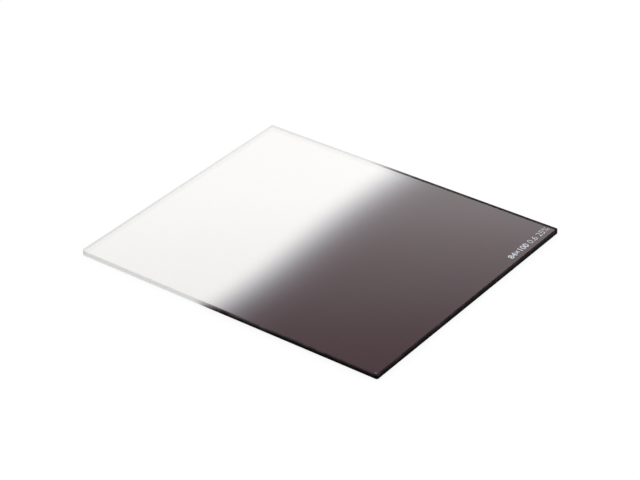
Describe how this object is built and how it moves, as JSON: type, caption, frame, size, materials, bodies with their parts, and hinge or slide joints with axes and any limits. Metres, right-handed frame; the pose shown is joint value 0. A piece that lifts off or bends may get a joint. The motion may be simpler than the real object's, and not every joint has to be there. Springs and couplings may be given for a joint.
{
  "type": "graduated neutral density filter plate",
  "caption": "Thin flat rectangular resin plate, clear at one end and grey at the other with a soft band between, with small rounded corners and polished edges.",
  "frame": {"origin": "centre of the back face, which the plate lies on", "axes": "+X along the length from the clear end to the dark end, +Y across the width towards the corner with the print, +Z out of the front face"},
  "size_m": [0.1, 0.084, 0.0015],
  "materials": {
    "graded_resin": "polished see-through resin, its dye graded along the length from clear to warm grey",
    "white_ink": "thin white printing ink"
  },
  "bodies": {
    "root": {"filter_sheet": "graded_resin"}
  },
  "joints": []
}
